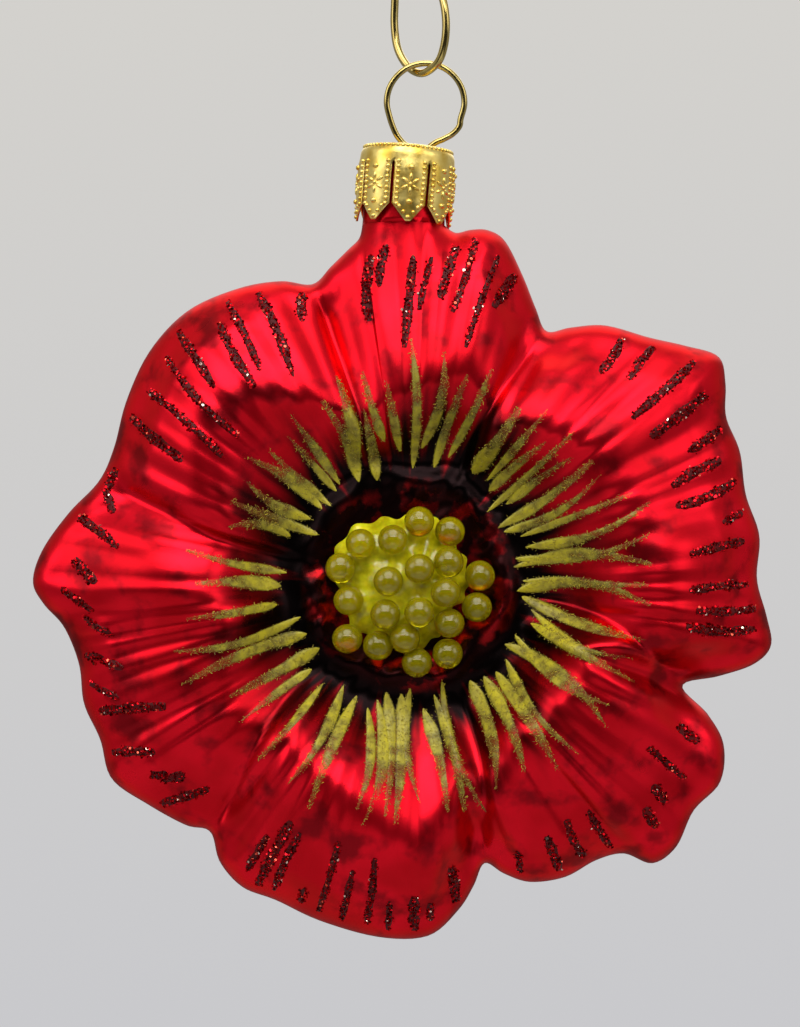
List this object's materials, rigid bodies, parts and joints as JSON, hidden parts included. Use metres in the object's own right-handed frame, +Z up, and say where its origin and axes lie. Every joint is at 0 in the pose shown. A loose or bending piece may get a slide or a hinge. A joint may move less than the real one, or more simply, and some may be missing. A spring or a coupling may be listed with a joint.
{
  "type": "glass flower ornament",
  "caption": "Hanging blown-glass ornament shaped as an open mallow flower, with a beaded centre, a metal crown cap, a wire ring and a wire hook.",
  "frame": {"origin": "inside of the hook's top bend, where the ornament hangs", "axes": "+Z up along the hanging line, the flower's face looks along -Y, +X to the right of a person who faces the flower"},
  "size_m": [0.1003, 0.0279, 0.1557],
  "materials": {
    "lacquered_glass": "silvered inside, satin red lacquer outside with painted strokes and glitter",
    "cap_metal": "stamped gold-coloured sheet, bright",
    "wire": "bright gold-coloured wire",
    "bead_glass": "clear yellow-green glass",
    "bead_glue": "hardened yellow glue"
  },
  "bodies": {
    "root": {"glass_body": "lacquered_glass", "crown_cap": "cap_metal", "hanger_wire": "wire", "hook": "wire", "bead_glue": "bead_glue", "bead_01": "bead_glass", "bead_02": "bead_glass", "bead_03": "bead_glass", "bead_04": "bead_glass", "bead_05": "bead_glass", "bead_06": "bead_glass", "bead_07": "bead_glass", "bead_08": "bead_glass", "bead_09": "bead_glass", "bead_10": "bead_glass", "bead_11": "bead_glass", "bead_12": "bead_glass", "bead_13": "bead_glass", "bead_14": "bead_glass", "bead_15": "bead_glass", "bead_16": "bead_glass", "bead_17": "bead_glass", "bead_18": "bead_glass", "bead_19": "bead_glass", "bead_20": "bead_glass"}
  },
  "joints": []
}
